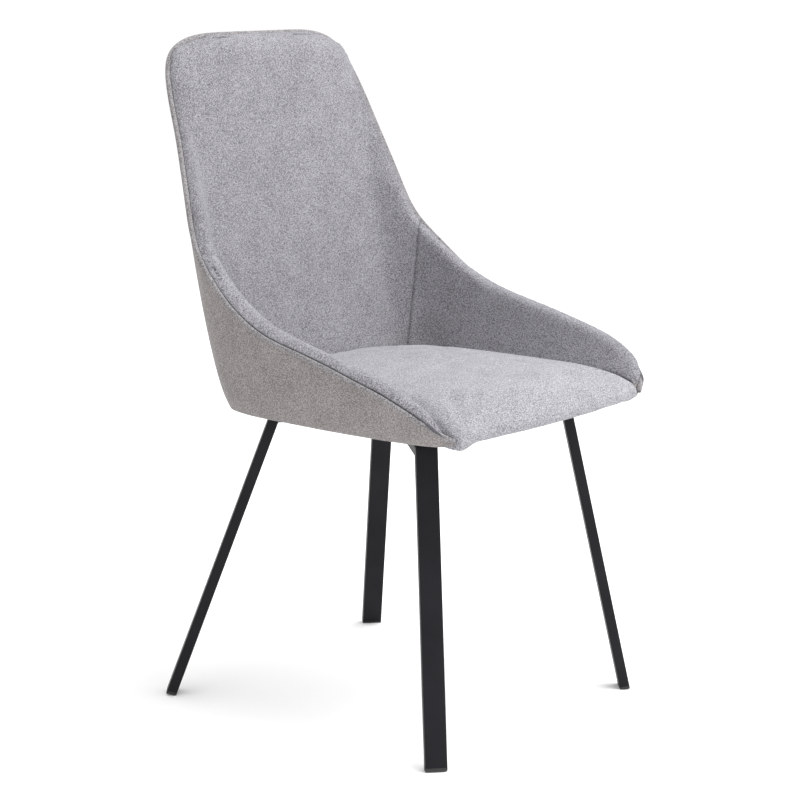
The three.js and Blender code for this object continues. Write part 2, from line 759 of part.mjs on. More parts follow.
function addBucket() {
  const weltRoom = weltSolid(WELT_RADIUS + GAP);
  const coverRoom = outerCoverSolid(GAP);
  const shellRoom = shellSolid(GAP);
  addPiece("outer_cover", cut(outerCoverSolid(0), [weltRoom]), outerFabric);
  const shell = shellSolid(0);
  addPiece("moulded_shell", cut(shell, [coverRoom, weltRoom]), plywood);
  addPiece("rim_welt", weltSolid(WELT_RADIUS), outerFabric);
  const around = [weltRoom, shellRoom, shell, coverRoom];
  const panels = [
    ["back", -PANEL_SEAM_STATION, PANEL_SEAM_STATION],
    ["left_wing", PANEL_SEAM_STATION, TIP],
    ["right_wing", -PANEL_SEAM_STATION, -TIP],
  ];
  for (const [name, from, to] of panels) {
    const inwards = Math.sign(to - from);
    const isBack = name === "back";
    const start = from + inwards * SEAM_GAP;
    const end = isBack ? to - inwards * SEAM_GAP : to;
    const cover = innerCoverSolid(start, end, 0);
    addPiece(`${name}_cover`, cut(cover, around), innerFabric);
    const foamEnd = isBack ? end - inwards * SEAM_GAP : end;
    const padding = foamSolid(start + inwards * SEAM_GAP, foamEnd);
    const coverSpace = innerCoverSolid(start, end, GAP);
    addPiece(`${name}_foam`, cut(padding, [coverSpace, cover, ...around]), foam);
  }
}

addBucket();

// ------------------------------------------------------------------------- seat

// half width of the seat, from the back to the front: [y, half width]
const SEAT_HALF_WIDTHS = [
  [133, 116],
  [130, 140],
  [122, 158],
  [106, 170],
  [70, 179],
  [0, 187],
  [-100, 192],
  [-200, 196],
  [-258, 197],
];
const SEAT_BACK = SEAT_HALF_WIDTHS[0][0];
const SEAT_ROLL_START = -212; // where the top starts to roll over the front edge
const SEAT_ROLL_END_HEIGHT = 432;
const SEAT_ROLL_SHARE = 0.8; // the rest of the way over is the straight lip
const SEAT_LIP_HEIGHT = 414;
const SEAT_LIP_ARCH = 3; // the lip is higher in the middle than at the corners
const SEAT_BACK_HEIGHT = 457; // middle of the back edge
const SEAT_FRONT_HEIGHT = 461; // middle, where the roll starts

function seatHalfWidth(y) {
  const marks = SEAT_HALF_WIDTHS;
  let i = 0;
  while (i < marks.length - 2 && y < marks[i + 1][0]) i += 1;
  const share = THREE.MathUtils.clamp((marks[i][0] - y) / (marks[i][0] - marks[i + 1][0]), 0, 1);
  return marks[i][1] + (marks[i + 1][1] - marks[i][1]) * share;
}

// Height of the middle of the seat at a given y.
function seatCrown(y) {
  const middle = (SEAT_BACK + SEAT_ROLL_START) / 2;
  const isBehind = y > middle;
  const end = isBehind ? SEAT_BACK : SEAT_ROLL_START;
  const height = isBehind ? SEAT_BACK_HEIGHT : SEAT_FRONT_HEIGHT;
  const share = (y - middle) / (end - middle);
  return SEAT_CROWN + (height - SEAT_CROWN) * share * share;
}

// One row across the seat's outer face: place gives its y, and how far it has
// rolled over the front edge, from 0 on top to 1 on the lip.
function seatRow(place, inset, steps) {
  const { y, roll } = place;
  const quarter = Math.min(roll / SEAT_ROLL_SHARE, 1) * (Math.PI / 2);
  const reach = SEAT_ROLL_START - SEAT_FRONT - inset;
  const middleY = y - reach * Math.sin(quarter);
  const half = seatHalfWidth(middleY) - inset;
  const below = Math.max(roll - SEAT_ROLL_SHARE, 0) / (1 - SEAT_ROLL_SHARE);
  const points = [];
  for (let i = 0; i <= steps; i += 1) {
    const across = (2 * i) / steps - 1;
    const crown = seatCrown(y) - SEAT_SIDE_TOP;
    const top = SEAT_SIDE_TOP + crown * (1 - Math.abs(across) ** CROWN_SQUARENESS) - inset;
    const rolled = SEAT_ROLL_END_HEIGHT + (top - SEAT_ROLL_END_HEIGHT) * Math.cos(quarter);
    const lip = SEAT_LIP_HEIGHT + SEAT_LIP_ARCH * (1 - across * across);
    const height = rolled + (lip - rolled) * below;
    const rowY = middleY + SEAT_FRONT_BOW * across * across * Math.sin(quarter);
    points.push(new THREE.Vector3(across * half, rowY, height));
  }
  return points;
}

const SEAT_TOP_ROWS = 9;
const SEAT_ROLL_ROWS = 5;
const SEAT_ACROSS_STEPS = 14;

function seatPlaces(inset, lastRoll) {
  const places = [];
  const back = SEAT_BACK - inset;
  for (let i = 0; i <= SEAT_TOP_ROWS; i += 1) {
    places.push({ y: back + (SEAT_ROLL_START - back) * (i / SEAT_TOP_ROWS), roll: 0 });
  }
  for (let i = 1; i <= SEAT_ROLL_ROWS; i += 1) {
    places.push({ y: SEAT_ROLL_START, roll: (lastRoll * i) / SEAT_ROLL_ROWS });
  }
  return places;
}

// Seat cover: the fabric over the cushion, turned down over the front edge.
function seatCoverSolid(margin) {
  const depth = FABRIC + margin;
  const outer = seatPlaces(-margin, 1).map((place) => seatRow(place, -margin, SEAT_ACROSS_STEPS));
  const inner = seatPlaces(depth, 1).map((place) => seatRow(place, depth, SEAT_ACROSS_STEPS));
  return loft(outer.map((row, i) => [...row, ...inner[i].reverse()]));
}

// Seat foam: the cushion itself, flat where it is glued to the board.
function addSeatFoam() {
  const inset = FABRIC + LAYER_GAP;
  const floor = BOARD_TOP + GAP;
  const sections = seatPlaces(inset, SEAT_ROLL_SHARE).map((place) => {
    const row = seatRow(place, inset, SEAT_ACROSS_STEPS);
    const bottom = row.map((point) => point.clone().setZ(floor)).reverse();
    return [...row, ...bottom];
  });
  addPiece("seat_foam", cut(loft(sections), [seatCoverSolid(GAP)]), foam);
}

// Seat board: the plywood that everything is stapled and bolted to.
const BOARD_FRONT = SEAT_FRONT + SEAT_FRONT_BOW + FABRIC + GAP + CORNER_ROOM;

function boardOutline(inset) {
  const outline = new THREE.Shape();
  const marks = SEAT_HALF_WIDTHS.filter(([y]) => y > BOARD_FRONT && y < SEAT_BACK);
  const side = marks.map(([y, half]) => [half - BOARD_INSET - inset, y]);
  const front = BOARD_FRONT + inset;
  outline.moveTo(0, front);
  outline.lineTo(seatHalfWidth(front) - BOARD_INSET - inset, front);
  for (const [x, y] of [...side].reverse()) outline.lineTo(x, y);
  for (const [x, y] of side) outline.lineTo(-x, y);
  outline.lineTo(-seatHalfWidth(front) + BOARD_INSET + inset, front);
  outline.closePath();
  return outline;
}

function addSeatBoard() {
  const board = new THREE.ExtrudeGeometry(boardOutline(0), {
    depth: BOARD_THICKNESS,
    bevelEnabled: false,
  });
  board.translate(0, 0, BOARD_BOTTOM);
  const recess = BOARD_TOP - T_NUT_FLANGE_THICKNESS - GAP;
  const bottom = BOARD_BOTTOM - OVERCUT;
  const top = BOARD_TOP + OVERCUT;
  const barrels = boltHoles(CORNERS, T_NUT_BARREL_RADIUS + GAP, bottom, top);
  const flanges = boltHoles(CORNERS, T_NUT_FLANGE_RADIUS + GAP, recess, top);
  const room = [...barrels, ...flanges, seatCoverSolid(GAP)];
  addPiece("seat_board", cut(board, room), plywood);
}

// Dust cover: black cloth stapled under the board, pierced for the spacers.
function addDustCover() {
  const cloth = new THREE.ExtrudeGeometry(boardOutline(DUST_COVER_MARGIN), {
    depth: DUST_COVER_THICKNESS,
    bevelEnabled: false,
  });
  const bottom = BOARD_BOTTOM - GAP - DUST_COVER_THICKNESS;
  cloth.translate(0, 0, bottom);
  const holes = boltHoles(CORNERS, SPACER_RADIUS + GAP, bottom - OVERCUT, BOARD_BOTTOM + OVERCUT);
  addPiece("dust_cover", cut(cloth, [...holes, seatCoverSolid(GAP)]), dustCloth);
}

addPiece("seat_cover", seatCoverSolid(0), seatFabric);
addSeatFoam();
addSeatBoard();
addDustCover();

// The origin goes under the middle of the chair's box.
const middle = new THREE.Box3().setFromObject(chair, true).getCenter(new THREE.Vector3());
chair.position.set(-middle.x, -middle.y, 0);

export default chair;
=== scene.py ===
import json
import math
import bmesh
import bpy
import numpy as np
from mathutils import Matrix, Vector
from mathutils.bvhtree import BVHTree

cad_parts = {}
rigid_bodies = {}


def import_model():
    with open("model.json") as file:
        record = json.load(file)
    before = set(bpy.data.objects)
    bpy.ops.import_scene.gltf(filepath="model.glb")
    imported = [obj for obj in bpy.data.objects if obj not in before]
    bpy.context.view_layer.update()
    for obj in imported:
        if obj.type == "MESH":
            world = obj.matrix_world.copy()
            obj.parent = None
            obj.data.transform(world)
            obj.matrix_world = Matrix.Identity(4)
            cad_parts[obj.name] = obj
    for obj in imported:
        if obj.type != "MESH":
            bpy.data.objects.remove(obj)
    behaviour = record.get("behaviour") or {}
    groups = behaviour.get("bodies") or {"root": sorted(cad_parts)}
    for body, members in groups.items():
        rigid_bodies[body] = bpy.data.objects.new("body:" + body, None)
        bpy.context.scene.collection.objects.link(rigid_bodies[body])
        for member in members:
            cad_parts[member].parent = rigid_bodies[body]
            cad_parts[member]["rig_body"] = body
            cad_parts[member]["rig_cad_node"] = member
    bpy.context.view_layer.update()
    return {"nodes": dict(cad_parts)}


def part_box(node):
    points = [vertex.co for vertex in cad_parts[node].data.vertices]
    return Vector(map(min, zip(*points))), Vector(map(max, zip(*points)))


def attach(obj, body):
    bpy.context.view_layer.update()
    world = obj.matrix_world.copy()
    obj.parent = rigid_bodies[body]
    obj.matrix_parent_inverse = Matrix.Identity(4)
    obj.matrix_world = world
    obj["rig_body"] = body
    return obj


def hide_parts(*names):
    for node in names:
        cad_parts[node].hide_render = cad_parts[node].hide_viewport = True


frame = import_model()

# Studio. A plain pale floor that runs to the horizon, a white surround, a big
# soft lamp in front of the sitter's left shoulder, and the camera at about hip height.
FLOOR_SIZE = 60.0
FLOOR_COLOUR = (0.97, 0.97, 0.97, 1)
CAMERA_PLACE = (-2.1898, -1.8224, 0.9882)
CAMERA_TARGET = (0.0, 0.0028, 0.4067)
CAMERA_LENS = 97.65
SENSOR_WIDTH = 36.0
SURROUND_COLOUR = (1.0, 1.0, 1.0, 1)
SURROUND_STRENGTH = 1.04
FLOOR_ROUGHNESS = 0.9
LAMP_PLACE = (1.0, -1.5, 3.3)
LAMP_TARGET = (0, 0, 0.45)
LAMP_SIZE = 4.0
LAMP_POWER = 165

studio = bpy.context.scene
studio.view_settings.view_transform = "Standard"
bpy.ops.object.select_all(action="DESELECT")
bpy.ops.mesh.primitive_plane_add(size=FLOOR_SIZE, location=(0, 0, 0))
floor = bpy.context.object
floor.name = "studio_floor"
floor_paint = bpy.data.materials.new("studio_floor")
floor_paint.use_nodes = True
floor_shader = floor_paint.node_tree.nodes["Principled BSDF"]
floor_shader.inputs["Base Color"].default_value = FLOOR_COLOUR
floor_shader.inputs["Roughness"].default_value = FLOOR_ROUGHNESS
floor.data.materials.append(floor_paint)

surround = bpy.data.worlds.new("surround")
surround.use_nodes = True
surround.node_tree.nodes["Background"].inputs["Color"].default_value = SURROUND_COLOUR
surround.node_tree.nodes["Background"].inputs["Strength"].default_value = SURROUND_STRENGTH
studio.world = surround

lamp = bpy.data.lights.new("key_lamp", "AREA")
lamp.shape = "DISK"
lamp.size = LAMP_SIZE
lamp.energy = LAMP_POWER
lamp_holder = bpy.data.objects.new("key_lamp", lamp)
lamp_holder.location = LAMP_PLACE
lamp_line = Vector(LAMP_TARGET) - Vector(LAMP_PLACE)
lamp_holder.rotation_euler = lamp_line.to_track_quat("-Z", "Y").to_euler()
studio.collection.objects.link(lamp_holder)

camera = bpy.data.cameras.new("camera")
camera.lens = CAMERA_LENS
camera.sensor_width = SENSOR_WIDTH
camera_holder = bpy.data.objects.new("camera", camera)
camera_holder.location = CAMERA_PLACE
view_line = Vector(CAMERA_TARGET) - Vector(CAMERA_PLACE)
camera_holder.rotation_euler = view_line.to_track_quat("-Z", "Y").to_euler()
studio.collection.objects.link(camera_holder)
studio.camera = camera_holder


# Crossed frame. Flat rectangular steel tube, mitred and welded at the knees, with
# a satin black powder coat that shows a fine orange peel and dust in its pores.
class Socket:
    """A value in a material, so that shader maths can be written as sums."""

    def __init__(self, sheet, link):
        self.sheet = sheet
        self.link = link

    def maths(self, operation, first, second):
        return self.sheet.node("ShaderNodeMath", {"operation": operation}, {0: first, 1: second})

    def __add__(self, other):
        return self.maths("ADD", self, other)

    def __radd__(self, other):
        return self.maths("ADD", other, self)

    def __sub__(self, other):
        return self.maths("SUBTRACT", self, other)

    def __rsub__(self, other):
        return self.maths("SUBTRACT", other, self)

    def __mul__(self, other):
        return self.maths("MULTIPLY", self, other)

    def __rmul__(self, other):
        return self.maths("MULTIPLY", other, self)

    def __pow__(self, other):
        return self.maths("POWER", self, other)

    def __truediv__(self, other):
        return self.maths("DIVIDE", self, other)


class Finish:
    """A material under construction: its nodes, and its main shader."""

    def __init__(self, name, colour, roughness, **constants):
        self.material = bpy.data.materials.new(name)
        self.material.use_nodes = True
        self.nodes = self.material.node_tree.nodes
        self.links = self.material.node_tree.links
        self.shader = self.nodes["Principled BSDF"]
        self.material.diffuse_color = (*colour, 1)
        self.shader.inputs["Base Color"].default_value = (*colour, 1)
        self.shader.inputs["Roughness"].default_value = roughness
        for socket, value in constants.items():
            self.shader.inputs[socket.replace("_", " ")].default_value = value

    def node(self, kind, settings=None, values=None, output=0):
        made = self.nodes.new(kind)
        for name, value in (settings or {}).items():
            if name == "stops":
                ramp = made.color_ramp.elements
                while len(ramp) < len(value):
                    ramp.new(1.0)
                for element, (place, shade) in zip(ramp, value):
                    element.position = place
                    element.color = (*shade, 1)
            else:
                setattr(made, name, value)
        for name, value in (values or {}).items():
            if isinstance(value, Socket):
                self.links.new(value.link, made.inputs[name])
            else:
                made.inputs[name].default_value = value
        return Socket(self, made.outputs[output])

    def drive(self, socket, value):
        self.links.new(value.link, self.shader.inputs[socket])

    def place(self):
        return self.node("ShaderNodeTexCoord", output="Object")

    def noise(self, vector, scale, detail=3.0, roughness=0.5, output="Fac"):
        values = {"Vector": vector, "Scale": scale, "Detail": detail, "Roughness": roughness}
        return self.node("ShaderNodeTexNoise", None, values, output)

    def blend(self, share, first, second):
        settings = {"data_type": "RGBA"}
        return self.node("ShaderNodeMix", settings, {0: share, 6: first, 7: second}, output=2)

    def bump(self, height, strength, distance):
        values = {"Height": height, "Strength": strength, "Distance": distance}
        self.drive("Normal", self.node("ShaderNodeBump", None, values))


COAT_COLOUR = (0.006, 0.006, 0.008)
COAT_DUST = (0.018, 0.018, 0.022)
COAT_ROUGHNESS = 0.36
COAT_PATCH_ROUGHNESS = 0.1
COAT_PEEL_ROUGHNESS = 0.08
COAT_REFLECTION = 0.14


def powder_coat():
    finish = Finish("powder_coat", COAT_COLOUR, COAT_ROUGHNESS, Specular_IOR_Level=COAT_REFLECTION)
    place = finish.place()
    peel = finish.noise(place, scale=900.0, detail=2.0)
    patches = finish.noise(place, scale=14.0, detail=4.0)
    shade = finish.blend(patches ** 2.0, (*COAT_COLOUR, 1), (*COAT_DUST, 1))
    finish.drive("Base Color", shade)
    roughness = COAT_ROUGHNESS + COAT_PATCH_ROUGHNESS * patches + COAT_PEEL_ROUGHNESS * peel
    finish.drive("Roughness", roughness)
    finish.bump(peel, strength=0.25, distance=0.0002)
    return finish.material


def cad_nodes(ending):
    return [node for name, node in frame["nodes"].items() if name.endswith(ending)]


def give(piece, material):
    for slot in piece.material_slots:
        slot.material = material
    if not piece.material_slots:
        piece.data.materials.append(material)


coat = powder_coat()
for tube in [*cad_nodes("_leg"), *cad_nodes("_bar")]:
    give(tube, coat)


# Foot plugs. Moulded black polymer caps pushed into the tube ends, a little matt
# and scuffed where they slide on the floor.
PLUG_COLOUR = (0.010, 0.010, 0.011)
SCUFF_COLOUR = (0.060, 0.058, 0.056)
SCUFF_HEIGHT = 0.006
PLUG_ROUGHNESS = 0.45
SCUFF_ROUGHNESS = 0.25


def moulded_plastic():
    finish = Finish("moulded_plastic", PLUG_COLOUR, PLUG_ROUGHNESS)
    place = finish.place()
    grain = finish.noise(place, scale=1500.0, detail=2.0)
    scuffs = finish.noise(place, scale=260.0, detail=5.0, roughness=0.7)
    height = finish.node("ShaderNodeSeparateXYZ", None, {"Vector": place}, output="Z")
    limits = {"Value": height, "From Min": SCUFF_HEIGHT, "From Max": 0.0}
    near_floor = finish.node("ShaderNodeMapRange", None, limits)
    shade = finish.blend(near_floor * scuffs ** 2.0, (*PLUG_COLOUR, 1), (*SCUFF_COLOUR, 1))
    finish.drive("Base Color", shade)
    finish.drive("Roughness", PLUG_ROUGHNESS + SCUFF_ROUGHNESS * scuffs)
    finish.bump(grain, strength=0.3, distance=0.0001)
    return finish.material


plastic = moulded_plastic()
for plug in [*cad_nodes("_foot_plug"), *cad_nodes("_spacer")]:
    give(plug, plastic)


# Seat bolts. Zinc-plated button-head screws with a hexagon socket, one at each
# corner, each on its washer; they hold the frame to the seat board from below.
SOCKET_DEPTH = 0.0022
HEAD_RADIUS = 0.006
HEAD_HEIGHT = 0.0036
SHANK_RADIUS = 0.003
ZINC_COLOUR = (0.56, 0.57, 0.58)
ZINC_TINT = (0.50, 0.50, 0.46)
ZINC_ROUGHNESS = 0.26
BLOOM_ROUGHNESS = 0.22
ROUNDED_SHARE = 0.62
ROUNDED_STEPS = 6
ROUNDED_PROFILE = 0.6
SOCKET_WALL = 0.0006
BOLT_SIDES = 48
SMOOTH_ANGLE = math.radians(35)


def zinc_plate():
    finish = Finish("zinc_plate", ZINC_COLOUR, ZINC_ROUGHNESS, Metallic=1.0)
    place = finish.place()
    bloom = finish.noise(place, scale=320.0, detail=4.0)
    brushed = finish.noise(place, scale=2600.0, detail=2.0)
    finish.drive("Base Color", finish.blend(bloom, (*ZINC_COLOUR, 1), (*ZINC_TINT, 1)))
    finish.drive("Roughness", ZINC_ROUGHNESS + BLOOM_ROUGHNESS * bloom)
    finish.bump(brushed, strength=0.15, distance=0.00005)
    return finish.material


def deselect_all():
    bpy.ops.object.select_all(action="DESELECT")


def start_editing(piece, mode):
    deselect_all()
    piece.select_set(True)
    bpy.context.view_layer.objects.active = piece
    bpy.ops.object.mode_set(mode="EDIT")
    bpy.ops.mesh.select_mode(type=mode)
    bpy.ops.mesh.select_all(action="DESELECT")
    bpy.ops.object.mode_set(mode="OBJECT")


def pick_faces(piece, is_wanted):
    """Selects the faces that pass a test of their middle and normal, in edit mode."""
    start_editing(piece, "FACE")
    for face in piece.data.polygons:
        face.select = is_wanted(face.center, face.normal)
    bpy.ops.object.mode_set(mode="EDIT")


def stop_editing():
    bpy.ops.object.mode_set(mode="OBJECT")


def settle(piece):
    """Puts a piece's place, turn and size into its mesh."""
    deselect_all()
    piece.select_set(True)
    bpy.context.view_layer.objects.active = piece
    bpy.ops.object.transform_apply(location=True, rotation=True, scale=True)


def copy_of(piece, name, shift):
    twin = piece.copy()
    twin.data = piece.data.copy()
    twin.name = name
    studio.collection.objects.link(twin)
    twin.data.transform(Matrix.Translation(shift))
    return twin


def finish_piece(piece, slot, material, *nodes, body="root"):
    """Gives a finished piece its material, fixes it to its rigid body, and hides the CAD nodes that it
    stands for.
    """
    give(piece, material)
    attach(piece, body)
    if nodes:
        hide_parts(*nodes)


zinc = zinc_plate()
first_low, first_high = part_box("front_left_bolt")
bolt_middle = (first_low + first_high) / 2
deselect_all()
bpy.ops.mesh.primitive_cylinder_add(
    vertices=BOLT_SIDES, radius=HEAD_RADIUS, depth=HEAD_HEIGHT,
    location=(bolt_middle.x, bolt_middle.y, first_low.z + HEAD_HEIGHT / 2))
bolt = bpy.context.object
bolt.name = "front_left_button_bolt"
settle(bolt)
pick_faces(bolt, lambda middle, normal: normal.z < -0.9)
bpy.ops.mesh.bevel(
    offset=HEAD_HEIGHT * ROUNDED_SHARE, segments=ROUNDED_STEPS, profile=ROUNDED_PROFILE)
stop_editing()
pick_faces(bolt, lambda middle, normal: normal.z < -0.999)
bpy.ops.mesh.inset(thickness=SOCKET_WALL)
bpy.ops.mesh.extrude_region_move(TRANSFORM_OT_translate={"value": (0, 0, SOCKET_DEPTH)})
stop_editing()
pick_faces(bolt, lambda middle, normal: normal.z > 0.9)
bpy.ops.mesh.inset(thickness=HEAD_RADIUS - SHANK_RADIUS)
bpy.ops.mesh.extrude_region_move(
    TRANSFORM_OT_translate={"value": (0, 0, first_high.z - first_low.z - HEAD_HEIGHT)})
stop_editing()
deselect_all()
bolt.select_set(True)
bpy.context.view_layer.objects.active = bolt
bpy.ops.object.shade_smooth_by_angle(angle=SMOOTH_ANGLE)
for corner in ("front_right", "rear_left", "rear_right"):
    low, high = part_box(f"{corner}_bolt")
    twin = copy_of(bolt, f"{corner}_button_bolt", (low + high) / 2 - bolt_middle)
    finish_piece(twin, "zinc_steel", zinc, f"{corner}_bolt")
finish_piece(bolt, "zinc_steel", zinc, "front_left_bolt")
for piece in [*cad_nodes("_washer"), *cad_nodes("_t_nut")]:
    give(piece, zinc)


# Seat board and shell. Birch plywood: the board is flat, the shell is bent in a
# mould. Both are raw wood that nothing but the maker sees.
PLY_LIGHT = (0.62, 0.44, 0.25)
PLY_DARK = (0.40, 0.25, 0.12)
PLY_LAYERS = 700.0
PLY_STRETCH = (60.0, 6.0, 60.0)
GRAIN_SHARE = 0.7
LAYER_SHARE = 0.2
PLY_ROUGHNESS = 0.55
GRAIN_ROUGHNESS = 0.25


def birch_plywood():
    finish = Finish("birch_plywood", PLY_LIGHT, PLY_ROUGHNESS)
    place = finish.place()
    stretched = finish.node("ShaderNodeMapping", None, {"Vector": place, "Scale": PLY_STRETCH})
    grain = finish.noise(stretched, scale=4.0, detail=6.0, roughness=0.6)
    height = finish.node("ShaderNodeSeparateXYZ", None, {"Vector": place}, output="Z")
    layers = finish.node("ShaderNodeMath", {"operation": "PINGPONG"}, {0: height * PLY_LAYERS, 1: 1.0})
    darkness = GRAIN_SHARE * grain + LAYER_SHARE * layers
    finish.drive("Base Color", finish.blend(darkness, (*PLY_LIGHT, 1), (*PLY_DARK, 1)))
    finish.drive("Roughness", PLY_ROUGHNESS + GRAIN_ROUGHNESS * grain)
    finish.bump(grain, strength=0.3, distance=0.0002)
    return finish.material


plywood = birch_plywood()
for piece in [frame["nodes"]["seat_board"], frame["nodes"]["moulded_shell"]]:
    give(piece, plywood)


# Dust cover. A thin black nonwoven cloth under the seat, pulled flat and stapled
# to the board; the bonded fibres give it a fine random felt.
DUST_COLOUR = (0.012, 0.012, 0.013)
DUST_FIBRE = (0.050, 0.050, 0.052)
DUST_ROUGHNESS = 0.85
FIBRE_ROUGHNESS = 0.1


def nonwoven():
    finish = Finish("nonwoven_cloth", DUST_COLOUR, DUST_ROUGHNESS)
    place = finish.place()
    fibres = finish.noise(place, scale=900.0, detail=6.0, roughness=0.7)
    shade = finish.blend(fibres ** 2.0, (*DUST_COLOUR, 1), (*DUST_FIBRE, 1))
    finish.drive("Base Color", shade)
    finish.drive("Roughness", DUST_ROUGHNESS + FIBRE_ROUGHNESS * fibres)
    finish.bump(fibres, strength=0.5, distance=0.0003)
    return finish.material


dust_cover = frame["nodes"]["dust_cover"]
give(dust_cover, nonwoven())


# Seat cushion. A crowned block of foam on the board, under a twill cover that is
# pulled over its front edge and stapled below; its sides press on the bucket.
VOXEL = 0.0050
SEAT_SHRINK = 0.002
SEAT_PRESSURE = 4.0
SEAT_CAP = 0.005
BOARD_STRETCH = 10.0
CORNER_BOX = (0.160, -0.205)
LIFT_ABOVE = 0.003
SIDE_ROOM = 0.0018
SAG_REACH = 0.022
NEAR_SAG = 0.009
FAR_SAG = 0.001
LIP_DEPTH = 0.030
LIP_LEAN = 1.5
TUCK_UNDER = 0.0008
SEAT_SMOOTHINGS = 6
CROWN_START = 0.012
THREAD_PITCH = 0.00100
TWILL_REPEAT = 4.0
YARN_ACROSS = 1100.0
YARN_ALONG = 170.0
YARN_SHARE = 0.55
FLECK_SHARE = 1.5
CLOUD_SHARE = 0.16
# Painted shade in the weave: how strongly the thread relief lightens crowns and darkens hollows, and
# the relief level that leaves the tone unchanged.
RIB_SHADE_SHARE = 0.3
RIB_MIDDLE = 0.6
RIB_YARN = 0.5
# Painted shade: how far the twill's colour is drawn towards its shadow colour where a piece carries
# the painted seam shade, and how dark that shadow colour is as a share of the dark yarn.
SEAM_DARKNESS = 0.8
SHADOW_SHARE = 0.35
TWILL_ROUGHNESS = 0.86
YARN_ROUGHNESS = 0.1
TWILL_SHEEN = 0.12
SHEEN_ROUGHNESS = 0.45
TWILL_REFLECTION = 0.2
TWILL_CONTRAST = 2.6
SEAT_LIGHT = (0.405, 0.402, 0.430)
SEAT_DARK = (0.130, 0.128, 0.140)
MERGE_DISTANCE = 0.00002
QUAD_FACE_ANGLE = math.radians(50)
QUAD_SHAPE_ANGLE = math.radians(60)
STUFFING_FRAMES = 20
CORNER_CREASE = 0.8
CLOTH_QUALITY = 3
CLOTH_MASS = 0.3
CLOTH_STRETCH = 20
CLOTH_BENDING = 2
HOLD_STEPS = 10


def merged_copy(name, *nodes):
    """One new object from copies of CAD nodes, with their loose triangles merged."""
    deselect_all()
    for node in nodes:
        twin = frame["nodes"][node].copy()
        twin.data = twin.data.copy()
        twin.parent = None
        del twin["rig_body"], twin["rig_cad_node"]
        studio.collection.objects.link(twin)
        twin.select_set(True)
        bpy.context.view_layer.objects.active = twin
    if len(nodes) > 1:
        bpy.ops.object.join()
    piece = bpy.context.view_layer.objects.active
    piece.name = name
    piece.data.name = name
    piece.data.materials.clear()
    start_editing(piece, "VERT")
    bpy.ops.object.mode_set(mode="EDIT")
    bpy.ops.mesh.select_all(action="SELECT")
    bpy.ops.mesh.remove_doubles(threshold=MERGE_DISTANCE)
    bpy.ops.mesh.customdata_custom_splitnormals_clear()
    bpy.ops.mesh.tris_convert_to_quads(
        face_threshold=QUAD_FACE_ANGLE, shape_threshold=QUAD_SHAPE_ANGLE)
    stop_editing()
    return piece


def apply_modifier(piece, kind, **settings):
    modifier = piece.modifiers.new(kind.lower(), kind)
    for name, value in settings.items():
        setattr(modifier, name, value)
    deselect_all()
    piece.select_set(True)
    bpy.context.view_layer.objects.active = piece
    bpy.ops.object.modifier_apply(modifier=modifier.name)


def keep_sharp(piece, angle):
    """Creases the edges that turn by more than an angle, so that smoothing leaves them."""
    mesh = bmesh.new()
    mesh.from_mesh(piece.data)
    crease = mesh.edges.layers.float.new("crease_edge")
    for edge in mesh.edges:
        if edge.is_manifold and edge.calc_face_angle() > angle:
            edge[crease] = CORNER_CREASE
    mesh.to_mesh(piece.data)
    mesh.free()


def corners_of(piece):
    places = np.empty(len(piece.data.vertices) * 3, np.float32)
    piece.data.vertices.foreach_get("co", places)
    return places.reshape(-1, 3).astype(float)


def normals_of(piece):
    normals = np.empty(len(piece.data.vertices) * 3, np.float32)
    piece.data.vertices.foreach_get("normal", normals)
    return normals.reshape(-1, 3).astype(float)


def move_corners(piece, places):
    piece.data.vertices.foreach_set("co", places.astype(np.float32).ravel())
    piece.data.update()


def stuff(piece, pressure, cap, held):
    """Blows a padded piece up under its cover, holding some of its points."""
    before = corners_of(piece)
    group = piece.vertex_groups.new(name="held")
    for step in range(HOLD_STEPS + 1):
        share = step / HOLD_STEPS
        points = np.flatnonzero(np.abs(held - share) <= 0.5 / HOLD_STEPS)
        if len(points):
            group.add(points.tolist(), share, "REPLACE")
    cloth = piece.modifiers.new("stuffing", "CLOTH")
    cloth.settings.quality = CLOTH_QUALITY
    cloth.settings.mass = CLOTH_MASS
    cloth.settings.tension_stiffness = CLOTH_STRETCH
    cloth.settings.compression_stiffness = CLOTH_STRETCH
    cloth.settings.bending_stiffness = CLOTH_BENDING
    cloth.settings.use_pressure = True
    cloth.settings.uniform_pressure_force = pressure
    cloth.settings.vertex_group_mass = group.name
    cloth.settings.effector_weights.gravity = 0
    cloth.collision_settings.use_collision = False
    cloth.point_cache.frame_start = 1
    cloth.point_cache.frame_end = STUFFING_FRAMES
    for moment in range(1, STUFFING_FRAMES + 1):
        studio.frame_set(moment)
    deselect_all()
    piece.select_set(True)
    bpy.context.view_layer.objects.active = piece
    bpy.ops.object.modifier_apply(modifier=cloth.name)
    studio.frame_set(1)
    piece.vertex_groups.clear()
    moved = corners_of(piece) - before
    length = np.linalg.norm(moved, axis=1)
    keep = cap * np.tanh(length / cap) / np.maximum(length, 1e-9)
    move_corners(piece, before + moved * keep[:, None])



def smooth_step(values, low, high):
    share = np.clip((values - low) / (high - low), 0, 1)
    return share * share * (3 - 2 * share)


def lay_threads(piece, across, along):
    """Sets the cloth's own coordinates, in metres along and across its threads."""
    if not piece.data.uv_layers:
        piece.data.uv_layers.new(name="threads")
    layer = piece.data.uv_layers[0]
    layer.name = "threads"
    corner = np.empty(len(piece.data.loops), np.int32)
    piece.data.loops.foreach_get("vertex_index", corner)
    threads = np.stack([across[corner], along[corner]], 1)
    layer.data.foreach_set("uv", threads.astype(np.float32).ravel())


